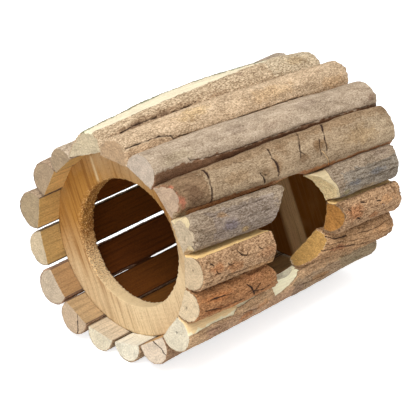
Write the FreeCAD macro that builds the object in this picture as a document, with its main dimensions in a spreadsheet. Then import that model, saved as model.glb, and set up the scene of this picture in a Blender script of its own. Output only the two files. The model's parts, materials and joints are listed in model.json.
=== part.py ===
"""Hamster house: seventeen split branches nailed round a bored ring and a solid disc.

Millimetres, +Z up.  The house lies on its side: its long axis runs along Y,
the front end faces -Y and the side entrance faces +X.  The origin is on the
surface that the house stands on, below the middle of its long axis.
"""
import FreeCAD
import math
import Part
import os
import Sketcher
from FreeCAD import Placement, Rotation, Vector

X_AXIS = Vector(1, 0, 0)
Y_AXIS = Vector(0, 1, 0)
Z_AXIS = Vector(0, 0, 1)

# Sizes that belong to the whole house, in mm and degrees.
HOUSE_SIZES = {
    "house_length": 145.0,              # a stave's usual length
    "ring_wall": 15.0,                  # wood between the bore and the ring's edge, if centred
    "ring_thickness": 7.5,              # of the front ring and of the back disc
    "bore_right_of_axis": 0.6,          # the bore sits a little off the ring's middle
    "bore_below_axis": 1.5,
    "front_overhang": 11.5,             # staves run on past the ring and the disc
    "back_overhang": 11.5,
    "front_first_edge_angle": 31.6,     # stave 1's far edge at the ring, left of straight up
    "back_first_edge_angle": 19.1,      # and at the disc: the staves lie a little twisted
    "side_entrance_diameter": 50.0,
    "side_entrance_from_middle": -1.5,  # where the saw's axis passes the ring's radius
    "side_entrance_above_axis": 0.0,
    "side_entrance_slant": 16.5,        # the saw's axis leans back as it comes out
    "brad_diameter": 1.2,
    "brad_head_diameter": 2.2,
    "brad_head_height": 0.8,
    "brad_point_length": 2.0,
    "brad_sink": 0.5,                   # heads are punched below the bark
    "brad_tip_cover": 2.0,              # wood left between a brad's tip and the bore
}

# One row for each stave, clockwise as seen from the front, the first at the top.
# Widths are taken at the ring and at the disc, thicknesses at the ends and half-way.
# A reach is how far an end stands past the usual length, and a sink how deep a
# stave is notched to come down over the front ring.
STAVE_COLUMNS = (
    "front_width", "back_width", "gap", "front_thickness", "middle_thickness",
    "back_thickness", "front_reach", "back_reach", "front_sink",
)
STAVE_SIZES = {
    "stave_01": (20.9, 16.8, 0.4, 9.5, 14.6, 11.5, 0.0, 2.5, 2.3),
    "stave_02": (16.2, 15.0, 0.4, 10.0, 12.0, 11.0, 0.0, 2.5, 3.0),
    "stave_03": (16.4, 17.7, 0.4, 11.0, 12.4, 11.0, 0.0, 2.5, 2.6),
    "stave_04": (15.8, 15.1, 0.4, 8.0, 11.5, 11.5, 0.0, 1.5, 1.0),
    "stave_05": (15.2, 15.2, 0.4, 9.5, 10.0, 9.0, 1.0, -1.0, 0.0),
    "stave_06": (14.8, 14.8, 0.4, 10.8, 10.3, 9.8, 0.0, 0.0, 0.0),
    "stave_07": (14.3, 14.3, 0.4, 10.5, 10.5, 10.0, 0.0, 0.0, 0.0),
    "stave_08": (15.3, 15.3, 0.8, 12.5, 11.0, 9.5, 0.5, 0.0, 0.0),
    "stave_09": (16.3, 16.3, 0.7, 11.0, 10.0, 9.0, 0.0, 0.5, 0.0),
    "stave_10": (15.8, 15.8, 0.8, 8.6, 8.1, 7.5, 0.0, 0.0, 0.0),
    "stave_11": (15.9, 15.9, 0.8, 8.8, 9.2, 9.7, 0.0, 0.0, 0.0),
    "stave_12": (15.3, 15.3, 1.0, 11.5, 10.0, 9.5, 0.5, 0.0, 0.0),
    "stave_13": (15.5, 15.5, 1.5, 12.8, 10.8, 9.5, 0.0, 0.5, 0.0),
    "stave_14": (16.8, 16.8, 1.5, 9.8, 9.2, 9.0, 0.0, -0.5, 0.0),
    "stave_15": (16.1, 18.3, 1.2, 12.8, 11.3, 10.0, 1.5, 0.0, 0.6),
    "stave_16": (16.5, 16.8, 0.4, 11.0, 11.2, 10.0, 0.0, 0.0, 1.6),
    "stave_17": (13.4, 15.6, 0.4, 8.6, 11.2, 13.0, 0.0, 3.0, 2.5),
}
# What the staves are nailed to at each end.
SEATS = {"front": "front_ring", "back": "back_disc"}
# The side entrance is sawn right through these, which leaves two pieces of each.
CUT_STAVES = ("stave_05", "stave_06", "stave_07")
NOTCHED_STAVES = ("stave_04", "stave_08")

# Where a sketch's lines lie until its dimensions move them.
START_HALF_WIDTH = 8.0
START_SEAT = 45.0
START_ARC_CENTRE = 46.0
START_BORE = 30.0


def fill_sizes(doc):
    """Put every driving size into a sheet as a plain number with its name."""
    sheet = doc.addObject("Spreadsheet::Sheet", "Sizes")
    sizes = dict(HOUSE_SIZES)
    for stave, row in STAVE_SIZES.items():
        sizes.update({f"{stave}_{column}": value for column, value in zip(STAVE_COLUMNS, row)})
    for line, (name, value) in enumerate(sizes.items(), start=1):
        sheet.set(f"A{line}", name)
        sheet.set(f"B{line}", str(value))
        sheet.setAlias(f"B{line}", name)
    return sheet


def seat_formulas(end):
    """Size the ring or disc at one end and share its full turn among the staves.

    Its edge is as long as all the flats and gaps together.  Angles run clockwise
    from straight up, as seen from the front.
    """
    pitches = [f"{stave}_{end}_pitch" for stave in STAVE_SIZES]
    formulas = {
        f"{stave}_{end}_pitch": f"Sizes.{stave}_{end}_width + Sizes.{stave}_gap" for stave in STAVE_SIZES
    }
    length = f"{end}_edge_length"
    formulas[length] = " + ".join(pitches)
    formulas[f"{end}_radius"] = f"{length} / (2 * pi)"
    edge = f"-Sizes.{end}_first_edge_angle"
    for stave in STAVE_SIZES:
        width = f"Sizes.{stave}_{end}_width"
        angle = f"{stave}_{end}_angle"
        formulas[angle] = f"{edge} + 180 * {width} / {length}"
        edge = f"{angle} + 180 * ({width} + 2 * Sizes.{stave}_gap) / {length}"
    return formulas


def section_formulas(stave):
    """Place a stave's three sections on straight lines drawn through the ring and the disc."""
    places = {
        "front": f"-Sizes.house_length / 2 - Sizes.{stave}_front_reach",
        "back": f"Sizes.house_length / 2 + Sizes.{stave}_back_reach",
        "middle": f"({stave}_front_y + {stave}_back_y) / 2",
    }
    front_seat = f"front_radius - Sizes.{stave}_front_sink"
    formulas = {}
    for name, place in places.items():
        section = f"{stave}_{name}"
        share = f"{section}_share"
        formulas[f"{section}_y"] = place
        formulas[share] = f"({section}_y - front_seat_y) / (back_seat_y - front_seat_y)"
        widths = f"Sizes.{stave}_back_width - Sizes.{stave}_front_width"
        formulas[f"{section}_width"] = f"Sizes.{stave}_front_width + {share} * ({widths})"
        formulas[f"{section}_turn"] = f"{share} * ({stave}_back_angle - {stave}_front_angle)"
        formulas[f"{section}_seat"] = f"{front_seat} + {share} * (back_radius - ({front_seat}))"
    return formulas


def fill_layout(doc):
    """Work out the ring's and the disc's radius and each stave's place round them."""
    covers = [f"Sizes.{stave}_front_thickness - Sizes.{stave}_front_sink" for stave in STAVE_SIZES]
    covers += [f"Sizes.{stave}_back_thickness" for stave in STAVE_SIZES]
    formulas = seat_formulas("front") | seat_formulas("back")
    formulas["bore_radius"] = "front_radius - Sizes.ring_wall"
    formulas["bore_offset"] = "sqrt(Sizes.bore_right_of_axis ^ 2 + Sizes.bore_below_axis ^ 2)"
    formulas["front_seat_y"] = "-Sizes.house_length / 2 + Sizes.front_overhang + Sizes.ring_thickness / 2"
    formulas["back_seat_y"] = "Sizes.house_length / 2 - Sizes.back_overhang - Sizes.ring_thickness / 2"
    formulas["brad_room"] = "Sizes.ring_wall - bore_offset - Sizes.brad_tip_cover - Sizes.brad_sink"
    formulas["brad_length"] = f"brad_room + min({'; '.join(covers)})"
    formulas["axis_height"] = "front_radius"
    for stave in STAVE_SIZES:
        formulas |= section_formulas(stave)
    layout = doc.addObject("Spreadsheet::Sheet", "Layout")
    for line, (name, formula) in enumerate(formulas.items(), start=1):
        layout.set(f"A{line}", name)
        layout.set(f"B{line}", f"={formula}")
        layout.setAlias(f"B{line}", name)
    return layout


def named(doc, kind, label):
    item = doc.addObject(kind, label)
    item.Label = label
    return item


def sketch_across(body, name, place_y):
    """Attach a sketch to the body's XZ plane, moved along Y to place_y."""
    sketch = body.newObject("Sketcher::SketchObject", f"{body.Label}_{name}")
    planes = {plane.Role: plane for plane in body.Origin.OriginFeatures}
    sketch.AttachmentSupport = [(planes["XZ_Plane"], "")]
    sketch.MapMode = "FlatFace"
    sketch.setExpression(".AttachmentOffset.Base.z", f"-({place_y})")
    return sketch


def bind(sketch, kind, ends, guess, formula):
    """Add a dimension whose value comes from the sheets."""
    index = sketch.addConstraint(Sketcher.Constraint(kind, *ends, guess))
    sketch.setExpression(f"Constraints[{index}]", formula)


def split_branch_section(body, stave, name):
    """Sketch a split branch across: the flat that seats on the ring and the bark's arc."""
    section = f"Layout.{stave}_{name}"
    width = f"{section}_width"
    thickness = f"Sizes.{stave}_{name}_thickness"
    arc_radius = f"(({width} / 2)^2 + {thickness}^2) / (2 * {thickness})"
    sketch = sketch_across(body, name, f"{section}_y")
    sketch.setExpression(".AttachmentOffset.Rotation.Angle", f"-{section}_turn")
    start_radius = math.hypot(START_HALF_WIDTH, START_ARC_CENTRE - START_SEAT)
    start_angle = math.atan2(START_SEAT - START_ARC_CENTRE, START_HALF_WIDTH)
    start_circle = Part.Circle(Vector(0, START_ARC_CENTRE, 0), Z_AXIS, start_radius)
    ends = [Vector(side * START_HALF_WIDTH, START_SEAT, 0) for side in (-1, 1)]
    flat = sketch.addGeometry(Part.LineSegment(*ends), False)
    bark = sketch.addGeometry(Part.ArcOfCircle(start_circle, start_angle, math.pi - start_angle), False)
    sketch.addConstraint(Sketcher.Constraint("Coincident", flat, 2, bark, 1))
    sketch.addConstraint(Sketcher.Constraint("Coincident", flat, 1, bark, 2))
    sketch.addConstraint(Sketcher.Constraint("Symmetric", flat, 1, flat, 2, -2))
    bind(sketch, "DistanceX", (flat, 1, flat, 2), 2 * START_HALF_WIDTH, width)
    bind(sketch, "DistanceY", (-1, 1, flat, 2), START_SEAT, f"{section}_seat")
    arc_centre = f"{section}_seat + {thickness} - {arc_radius}"
    bind(sketch, "DistanceY", (-1, 1, bark, 3), START_ARC_CENTRE, arc_centre)
    return sketch


def stave_blank(doc, stave):
    """Loft a whole stave through its front, middle and back sections."""
    body = named(doc, "PartDesign::Body", f"{stave}_blank")
    sections = [split_branch_section(body, stave, name) for name in ("front", "middle", "back")]
    loft = body.newObject("PartDesign::AdditiveLoft", f"{stave}_loft")
    loft.Profile = sections[0]
    loft.Sections = sections[1:]
    body.Tip = loft
    body.Placement = Placement(Vector(0, 0, 1), Rotation(Y_AXIS, 1))
    body.setExpression(".Placement.Base.z", "Layout.axis_height")
    body.setExpression(".Placement.Rotation.Angle", f"Layout.{stave}_front_angle")
    return body


def seat_blank(doc, end):
    """Pad the round piece at one end; the front one is bored for the way in."""
    body = named(doc, "PartDesign::Body", f"{SEATS[end]}_blank")
    sketch = sketch_across(body, "outline", f"Layout.{end}_seat_y")
    edge = sketch.addGeometry(Part.Circle(Vector(0, 0, 0), Z_AXIS, START_SEAT), False)
    sketch.addConstraint(Sketcher.Constraint("Coincident", edge, 3, -1, 1))
    bind(sketch, "Radius", (edge,), START_SEAT, f"Layout.{end}_radius")
    if end == "front":
        start = Vector(1, -1, 0)
        bore = sketch.addGeometry(Part.Circle(start, Z_AXIS, START_BORE), False)
        bind(sketch, "DistanceX", (-1, 1, bore, 3), start.x, "Sizes.bore_right_of_axis")
        bind(sketch, "DistanceY", (bore, 3, -1, 1), -start.y, "Sizes.bore_below_axis")
        bind(sketch, "Radius", (bore,), START_BORE, "Layout.bore_radius")
    pad = body.newObject("PartDesign::Pad", f"{SEATS[end]}_pad")
    pad.Profile = sketch
    pad.Midplane = True
    pad.setExpression("Length", "Sizes.ring_thickness")
    body.Tip = pad
    body.setExpression(".Placement.Base.z", "Layout.axis_height")
    return body


def bedding(doc):
    """Make the two round cutters that bed the staves on the ring and on the disc."""
    cutters = []
    for end, seat in SEATS.items():
        cutter = named(doc, "Part::Cylinder", f"{seat}_bed")
        cutter.setExpression("Radius", f"Layout.{end}_radius")
        cutter.setExpression("Height", "Sizes.ring_thickness")
        cutter.Placement = Placement(Vector(0, 1, 1), Rotation(X_AXIS, -90))
        cutter.setExpression(".Placement.Base.y", f"Layout.{end}_seat_y - Sizes.ring_thickness / 2")
        cutter.setExpression(".Placement.Base.z", "Layout.axis_height")
        cutters.append(cutter)
    compound = named(doc, "Part::Compound", "beds")
    compound.Links = cutters
    return compound


def hole_saw(doc):
    """Make the round cutter of the side entrance, from the long axis outwards."""
    slant = "Sizes.side_entrance_slant * 1 deg"
    saw = named(doc, "Part::Cylinder", "side_entrance_saw")
    saw.setExpression("Radius", "Sizes.side_entrance_diameter / 2")
    saw.setExpression("Height", "2 * Layout.front_radius")
    saw.Placement = Placement(Vector(0, 1, 1), Rotation(Y_AXIS, 90))
    saw.setExpression(".Placement.Rotation.Axis.x", f"-sin({slant})")
    saw.setExpression(".Placement.Rotation.Axis.y", f"cos({slant})")
    start = f"Sizes.side_entrance_from_middle - Layout.front_radius * tan({slant})"
    saw.setExpression(".Placement.Base.y", start)
    saw.setExpression(".Placement.Base.z", "Layout.axis_height + Sizes.side_entrance_above_axis")
    return saw


def brad_profile(sizes, layout, above_head):
    """Turn a brad, head up and its head's top at Z 0; above_head makes its hole instead."""
    head = sizes.brad_head_diameter / 2
    shank = sizes.brad_diameter / 2
    neck = -sizes.brad_head_height
    tip = -layout.brad_length
    corners = [
        (0, above_head), (head, above_head), (head, neck), (shank, neck),
        (shank, tip + sizes.brad_point_length), (0, tip), (0, above_head),
    ]
    outline = Part.makePolygon([Vector(radius, 0, height) for radius, height in corners])
    return Part.Face(outline).revolve(Vector(0, 0, 0), Z_AXIS, 360)


def at_seat(shape, sizes, layout, stave, end):
    """Move a brad's shape from Z 0 to its place in a stave, over the middle of its seat."""
    seat_y = getattr(layout, f"{end}_seat_y")
    end_y = getattr(layout, f"{stave}_{end}_y")
    share = (seat_y - end_y) / (getattr(layout, f"{stave}_middle_y") - end_y)
    end_thickness = getattr(sizes, f"{stave}_{end}_thickness")
    middle_thickness = getattr(sizes, f"{stave}_middle_thickness")
    thickness = end_thickness + share * (middle_thickness - end_thickness)
    sink = getattr(sizes, f"{stave}_front_sink") if end == "front" else 0
    bark = getattr(layout, f"{end}_radius") - sink + thickness
    turned = Placement(Vector(0, seat_y, 0), Rotation(Y_AXIS, getattr(layout, f"{stave}_{end}_angle")))
    lifted = Placement(Vector(0, 0, bark - sizes.brad_sink), Rotation())
    moved = shape.copy()
    moved.Placement = turned.multiply(lifted)
    return moved


def fixed_feature(doc, label, shapes):
    """Hold finished shapes as one object that stands at the axis height."""
    feature = named(doc, "Part::Feature", label)
    feature.Shape = Part.makeCompound(shapes)
    feature.Placement = Placement(Vector(0, 0, 1), Rotation())
    feature.setExpression(".Placement.Base.z", "Layout.axis_height")
    return feature


def cut(doc, label, base, tool, kind="Part::Cut"):
    result = named(doc, kind, label)
    result.Base = base
    result.Tool = tool
    return result


def half_space(doc, label, front):
    """Make a box that holds everything in front of, or behind, the side entrance's middle."""
    box = named(doc, "Part::Box", label)
    for side in ("Length", "Width", "Height"):
        box.setExpression(side, "2 * Sizes.house_length")
    box.setExpression(".Placement.Base.x", "-Sizes.house_length")
    box.setExpression(".Placement.Base.z", "-Sizes.house_length / 2")
    shift = " - 2 * Sizes.house_length" if front else ""
    box.setExpression(".Placement.Base.y", f"Sizes.side_entrance_from_middle{shift}")
    return box


def build(doc):
    """Make every piece and return them; each one's Label is its name."""
    sizes = fill_sizes(doc)
    layout = fill_layout(doc)
    doc.recompute()
    beds = bedding(doc)
    saw = hole_saw(doc)
    brad = brad_profile(sizes, layout, 0)
    brad_hole = brad_profile(sizes, layout, layout.front_radius)
    halves = {"front": half_space(doc, "front_half", True), "back": half_space(doc, "back_half", False)}
    pieces = []
    for end, seat in SEATS.items():
        holes = [at_seat(brad_hole, sizes, layout, stave, end) for stave in STAVE_SIZES]
        pieces.append(cut(doc, seat, seat_blank(doc, end), fixed_feature(doc, f"{seat}_holes", holes)))
        brads = [at_seat(brad, sizes, layout, stave, end) for stave in STAVE_SIZES]
        pieces.append(fixed_feature(doc, f"{seat}_brads", brads))
    for stave in STAVE_SIZES:
        bedded = cut(doc, f"{stave}_bedded", stave_blank(doc, stave), beds)
        own_holes = [at_seat(brad_hole, sizes, layout, stave, end) for end in SEATS]
        nailed = cut(doc, f"{stave}_nailed", bedded, fixed_feature(doc, f"{stave}_holes", own_holes))
        if stave in CUT_STAVES:
            for end, half in halves.items():
                name = f"{stave}_{end}"
                uncut = cut(doc, f"{name}_uncut", nailed, half, "Part::Common")
                pieces.append(cut(doc, name, uncut, saw))
        elif stave in NOTCHED_STAVES:
            pieces.append(cut(doc, stave, nailed, saw))
        else:
            nailed.Label = stave
            pieces.append(nailed)
    doc.recompute()
    lowest = min(piece.Shape.optimalBoundingBox(False, False).ZMin for piece in pieces)
    layout.set(layout.getCellFromAlias("axis_height"), str(layout.axis_height - lowest))
    doc.recompute()
    return pieces


def check(doc, pieces):
    """Stop if any object failed or any piece isn't made of sound solids."""
    for item in doc.Objects:
        if {"Invalid", "Error"} & set(item.State):
            raise RuntimeError(f"{item.Label} failed: {item.State}")
    for piece in pieces:
        if piece.Shape.isNull() or not piece.Shape.isValid() or not piece.Shape.Solids:
            raise RuntimeError(f"{piece.Label} has no sound shape")


def main():
    doc = FreeCAD.newDocument("hamster_house")
    pieces = build(doc)
    check(doc, pieces)
    os.makedirs("parts", exist_ok=True)
    for piece in pieces:
        piece.Shape.exportStep(os.path.join("parts", f"{piece.Label}.step"))


main()
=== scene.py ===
"""Wooden hamster house: seventeen split branches in their bark, nailed round a bored ring and a disc.

Lengths are in millimetres until a mesh is made; the frame and every mesh are in metres.
The house lies along Y with its front end at -Y, its side entrance at +X and +Z up.
Angles round the house run clockwise from straight up, as seen from the front.
A place on a branch's bark is (y, around): around runs clockwise over the bark from its crown.
"""
import json
import math
import bpy
import numpy as np
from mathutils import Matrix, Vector


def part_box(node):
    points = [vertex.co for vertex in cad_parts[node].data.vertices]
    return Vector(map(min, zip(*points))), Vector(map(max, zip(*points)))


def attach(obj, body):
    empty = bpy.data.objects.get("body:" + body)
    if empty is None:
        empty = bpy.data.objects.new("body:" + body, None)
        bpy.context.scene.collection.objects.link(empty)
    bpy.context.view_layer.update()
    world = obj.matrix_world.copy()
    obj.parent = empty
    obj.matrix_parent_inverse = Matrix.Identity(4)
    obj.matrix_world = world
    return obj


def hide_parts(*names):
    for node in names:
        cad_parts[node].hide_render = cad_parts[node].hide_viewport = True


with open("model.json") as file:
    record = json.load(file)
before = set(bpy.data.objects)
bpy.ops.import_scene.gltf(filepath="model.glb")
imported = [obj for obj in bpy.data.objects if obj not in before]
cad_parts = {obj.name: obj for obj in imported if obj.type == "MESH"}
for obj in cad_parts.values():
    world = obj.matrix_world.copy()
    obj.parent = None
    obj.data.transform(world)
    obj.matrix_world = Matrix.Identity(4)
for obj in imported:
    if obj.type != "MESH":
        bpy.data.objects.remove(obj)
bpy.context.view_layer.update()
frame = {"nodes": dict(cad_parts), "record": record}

MM = 0.001
STAVES = [f"stave_{number:02d}" for number in range(1, 18)]
CUT_STAVES = ("stave_05", "stave_06", "stave_07")     # the side entrance saws these in two
NOTCHED_STAVES = {"stave_04": 1, "stave_08": -1}      # and notches these on one side: 1 is clockwise

# ---------------------------------------------------------------- the frame's own sizes, in mm
ENTRANCE = frame["record"]["mounts"][0]
DISC_LOW, DISC_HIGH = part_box("back_disc")
AXIS_HEIGHT = (DISC_LOW.z + DISC_HIGH.z) / 2 / MM
RING_RADIUS = (DISC_HIGH.x - DISC_LOW.x) / 2 / MM
BORE_RADIUS = ENTRANCE["dims"]["r_mm"]
BORE_ACROSS, BORE_UP = ENTRANCE["pos_m"][0] / MM, ENTRANCE["pos_m"][2] / MM - AXIS_HEIGHT

# The side entrance, as it is sawn in the frame's pieces.
SAW_RADIUS = 25.0
SAW_SLANT = math.radians(16.5)
SAW_FROM_MIDDLE = -1.5


# ---------------------------------------------------------------- small formulas
TABLE_SIZE = 256        # clouds repeat after as many hills


def ramp(value, low, high):
    """Rise from 0 at low to 1 at high along the smooth curve 3t^2 - 2t^3."""
    share = np.clip((value - low) / (high - low), 0, 1)
    return share * share * (3 - 2 * share)


def between(value, low, high, soft):
    """One from low to high, with a ramp of that length inside each limit."""
    return ramp(value, low, low + soft) * ramp(-value, -high, soft - high)


def bump(value, centre, half_width):
    """One at the centre, falling along the bell exp(-(distance / half width)^2)."""
    return np.exp(-(((value - centre) / half_width) ** 2))


def cloud(u, v, seed, octaves=1):
    """Random hills from -1 to 1 over the plane.

    A table of random heights stands on the whole numbers of u and v. Between them the heights
    blend along 6t^5 - 15t^4 + 10t^3. Each octave is twice as fine and half as high as the last,
    and shifted against it.
    """
    u, v = np.broadcast_arrays(np.asarray(u, float), np.asarray(v, float))
    total = np.zeros(u.shape)
    for octave in range(octaves):
        table = np.random.default_rng(seed * 31 + octave).uniform(-1, 1, (TABLE_SIZE, TABLE_SIZE))
        column, row = np.floor(u).astype(int), np.floor(v).astype(int)
        across, along = u - column, v - row
        across = across ** 3 * (across * (across * 6 - 15) + 10)
        along = along ** 3 * (along * (along * 6 - 15) + 10)
        left, right = column % TABLE_SIZE, (column + 1) % TABLE_SIZE
        near, far = row % TABLE_SIZE, (row + 1) % TABLE_SIZE
        near_height = table[left, near] * (1 - across) + table[right, near] * across
        far_height = table[left, far] * (1 - across) + table[right, far] * across
        total += (near_height * (1 - along) + far_height * along) / 2 ** octave
        u, v = u * 2 + 17.3, v * 2 + 5.9
    return total


def paint(card, times=1.0):
    """Colour for a shader from a paint card's 0 to 255 numbers, made lighter or darker by a factor."""
    share = np.array(card) / 255
    plain = np.where(share > 0.04045, ((share + 0.055) / 1.055) ** 2.4, share / 12.92)
    return tuple(float(part) for part in np.minimum(plain * times, 0.95))


# ---------------------------------------------------------------- staves, measured on the frame
ON_END = 0.01           # a point this near a sawn end belongs to it
ON_FLAT = 0.05          # and one this near the flat is one of its corners
OFF_FLAT = 3.5          # the bark is fitted to points that lie farther than this above the flat
FIT_SLACKS = (1.0, 0.4, 0.15, 0.08, 0.08)     # and to those that lie no deeper under the last fit
LEAN_FROM, LEAN_LENGTH = 50, 35               # y where a piece starts to lean in, and over what length


class Stave:
    """The place and section of a split branch, read off its nodes' meshes.

    angle(y) is where its flat faces away from the long axis, seat(y) is how far the flat lies
    from it, width(y) is the flat's width, and thickness(y) is how far its bark stands above it.
    """

    def __init__(self, name):
        self.name = name
        self.number = STAVES.index(name) + 1
        self.look = PLAIN_BRANCH | LOOKS[name]
        self.nodes = [f"{name}_front", f"{name}_back"] if name in CUT_STAVES else [name]
        points = [self.points(node) for node in self.nodes]
        self.front, self.back = points[0][:, 1].min(), points[-1][:, 1].max()
        ends = [self.end_section(points[0], self.front), self.end_section(points[-1], self.back)]
        self.angle_line, self.seat_line, self.width_line = np.polyfit([self.front, self.back], ends, 1).T
        self.thickness_curve = self.crown(np.concatenate(points))

    @staticmethod
    def points(node):
        """Vertices of a node in mm, with Z measured from the long axis."""
        mesh = frame["nodes"][node].data
        flat = np.zeros(len(mesh.vertices) * 3)
        mesh.vertices.foreach_get("co", flat)
        return flat.reshape(-1, 3) / MM - (0, 0, AXIS_HEIGHT)

    @staticmethod
    def end_section(points, end):
        """Angle, distance from the axis and width of the flat on a sawn end.

        The flat is the side that faces the axis, so its direction is the one in which the
        end's nearest point to the axis, measured along that direction, lies farthest out.
        """
        rim = points[np.abs(points[:, 1] - end) < ON_END][:, (0, 2)]
        middle = math.atan2(*rim.mean(0))
        tries = middle + np.radians(np.arange(-8, 8, 0.01))
        nearest = (rim @ np.array([np.sin(tries), np.cos(tries)])).min(0)
        angle = tries[nearest.argmax()]
        height = rim @ (math.sin(angle), math.cos(angle))
        side = rim @ (math.cos(angle), -math.sin(angle))
        corners = side[height < height.min() + ON_FLAT]
        return angle, height.min(), corners.max() - corners.min()

    def crown(self, points):
        """Fit a parabola along the stave to the thickness that each point of its bark gives.

        The arc through a point and both corners of the flat has its centre at
        (side^2 + height^2 - half width^2) / (2 height) above the flat, and its crown one radius
        above that. Points on sawn faces lie inside the bark, so they fall away as the fit closes in.
        """
        y, turn = points[:, 1], self.angle(points[:, 1])
        height = points[:, 0] * np.sin(turn) + points[:, 2] * np.cos(turn) - np.polyval(self.seat_line, y)
        side = points[:, 0] * np.cos(turn) - points[:, 2] * np.sin(turn)
        half = self.width(y) / 2
        kept = height > OFF_FLAT
        centre = (side ** 2 + height ** 2 - half ** 2) / (2 * np.maximum(height, 1))
        thickness = centre + np.hypot(centre, half)
        for slack in FIT_SLACKS:
            curve = np.polyfit(y[kept], thickness[kept], 2)
            kept &= thickness > np.polyval(curve, y) - slack
        return curve

    def angle(self, y):
        return np.polyval(self.angle_line, y)

    def seat(self, y):
        """Distance of the flat from the axis. A loose end behind the entrance leans in from the disc."""
        lean = np.clip((LEAN_FROM - y) / LEAN_LENGTH, 0, 1) * (y > SAW_FROM_MIDDLE)
        return np.polyval(self.seat_line, y) - self.look["leans_in"] * lean

    def width(self, y):
        return np.polyval(self.width_line, y)

    def thickness(self, y):
        return np.polyval(self.thickness_curve, y)

    def arc(self, y):
        """Radius of the bark's arc, its centre's height above the flat, and its corner's angle."""
        high, half = self.thickness(y), self.width(y) / 2
        radius = (half ** 2 + high ** 2) / (2 * high)
        centre = high - radius
        return radius, centre, np.arctan2(-centre, half)

    def place(self, across, up, y):
        """Turn section sizes into X, Y and Z: across is clockwise, up is away from the axis."""
        turn = self.angle(y)
        out = self.seat(y) + up
        x = out * np.sin(turn) + across * np.cos(turn)
        z = out * np.cos(turn) - across * np.sin(turn)
        return x, y, z


def saw_reach(x, z, side):
    """Y of the side entrance's round wall at x and z; side is -1 for its front half, 1 for its back."""
    half = np.sqrt(np.maximum(SAW_RADIUS ** 2 - z ** 2, 0)) / math.cos(SAW_SLANT)
    return SAW_FROM_MIDDLE + (x - RING_RADIUS) * math.tan(SAW_SLANT) + side * half


def inside_saw(x, y, z):
    """Negative within the side entrance's round, in square mm, and positive outside it."""
    off_axis = (y - SAW_FROM_MIDDLE) * math.cos(SAW_SLANT) - (x - RING_RADIUS) * math.sin(SAW_SLANT)
    return off_axis ** 2 + z ** 2 - SAW_RADIUS ** 2


# ---------------------------------------------------------------- how each branch looks
# Colours are red, green and blue on a paint card, 0 to 255, and shades are factors on a colour.
# Lengths are in mm. The outline of a strip has rows of (y, around from, around to).
PLAIN_BRANCH = dict(
    speck=0.6, streak=0.5,      # how strong the bark's flecks and its lengthwise streaks are
    grit=0.7, furrow=0.5,       # how high its grains and its lengthwise ridges stand
    pits=0,                     # how deep it is pitted
    worn=(0.4, 1.4),            # radius of the worn front and back edge
    wood=(222, 186, 136),       # the wood where the bark came off
    flat=(196, 150, 96),        # the split face
    cut=None,                   # the face in the side entrance, where it isn't as the end
    rim=0.4, cut_rim=0.3,       # thickness of the bark round an end and round that face; -1 is none
    rim_tone=None,              # the rim's colour, where it isn't the bark's
    pith=None,                  # (across, up) of a dark pith
    end_crack=False,            # whether the ends have a drying crack
    chip=0.15,                  # how far the saw chipped the front end
    lean=(0, 0),                # slope of the front end, across and up
    bare=(), stray=0.4,         # strips without bark, and how ragged their edges are
    bands=(),                   # strips of another shade: (shade, outline)
    spots=(),                   # (y, around, half length, half width, shade)
    cracks=(), slivers=(),      # lines of crack or of bare wood: (width, (y, around), (y, around), ...)
    bulges=(),                  # (y from, y to, around, half width, height)
    swollen=(),                 # (side, y from, y to, height) of an edge that meets its neighbour
    blunt=None,                 # y where the piece before the side entrance broke off square
    leans_in=0,                 # how far the piece behind the side entrance leans into it
    painted_light_inside=(0, 0, 0),            # (y from, y to, share) where painted light through the side entrance lessens the painted shade inside
)
GREY_GREEN = (0.50, 0.58, 0.52)
DARK = (0.50, 0.44, 0.42)
DIM = (0.72, 0.66, 0.62)
INNER_BARK = (1.0, 0.66, 0.46)
LOOKS = {}
LOOKS["stave_01"] = dict(
    tone=(203, 176, 143), speck=0.9, grit=1.2, furrow=0.6, worn=(1, 3), wood=(246, 232, 200),
    end=(200, 183, 152), chip=0.5, lean=(0, 0.35), stray=0.25,
    bare=[[(-76, -0.9, 4.4), (-70, -0.9, 4.7), (-53, -1.1, 5.6), (-29, -1.2, 6.2), (-4, -1, 5.4),
        (21, -0.9, 3.7), (46, -0.9, 0.6)]],
    bands=[(GREY_GREEN, [(-76, -3.4, -0.9), (30, -3.4, -0.9), (50, -3.4, -2.4)]),
        (DIM, [(-62, 10.2, 15), (-40, 9.6, 15), (-8, 11.5, 15)]),
        ((1, 1.06, 1.1), [(40, -8, 12), (78, -8, 12)])],
    spots=[(21, 5.8, 2.6, 1.6, DARK), (-19, 13.4, 2, 1.2, DARK), (-33, 12.5, 5, 1.2, DARK),
        (-48, 11.3, 5, 1.3, DARK), (2, 12.8, 6, 1.5, DIM), (58, 6, 8, 3, (0.85, 0.8, 0.72))],
    cracks=[(0.8, (-58, 11.7), (-47, 11.4), (-36, 12.4)), (0.7, (-27, 13.2), (-19, 13.2), (-12, 12.4))])
LOOKS["stave_02"] = dict(
    tone=(201, 173, 140), streak=0.35, grit=0.8, furrow=0.3, worn=(1, 2.6), wood=(236, 196, 146),
    end=(187, 156, 122),
    bands=[((0.97, 0.92, 0.88), [(-74, 7.4, 15), (-52, 7.6, 15), (-46, 9.4, 15), (-20, 11.8, 15),
        (76, 12.4, 15)])],
    spots=[(-28, 2, 12, 4, (1.06, 1.02, 0.88)), (20, 5, 16, 4, (1.04, 0.98, 0.88)),
        (62, 9, 10, 3, (1.02, 0.95, 0.86))],
    cracks=[(0.8, (-71.5, 6.7), (-60, 6.9), (-52, 6.9), (-45.5, 8.6), (-45, 10.2), (-25.5, 11.2),
        (-2.5, 11.6), (40, 11.8))])
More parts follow.
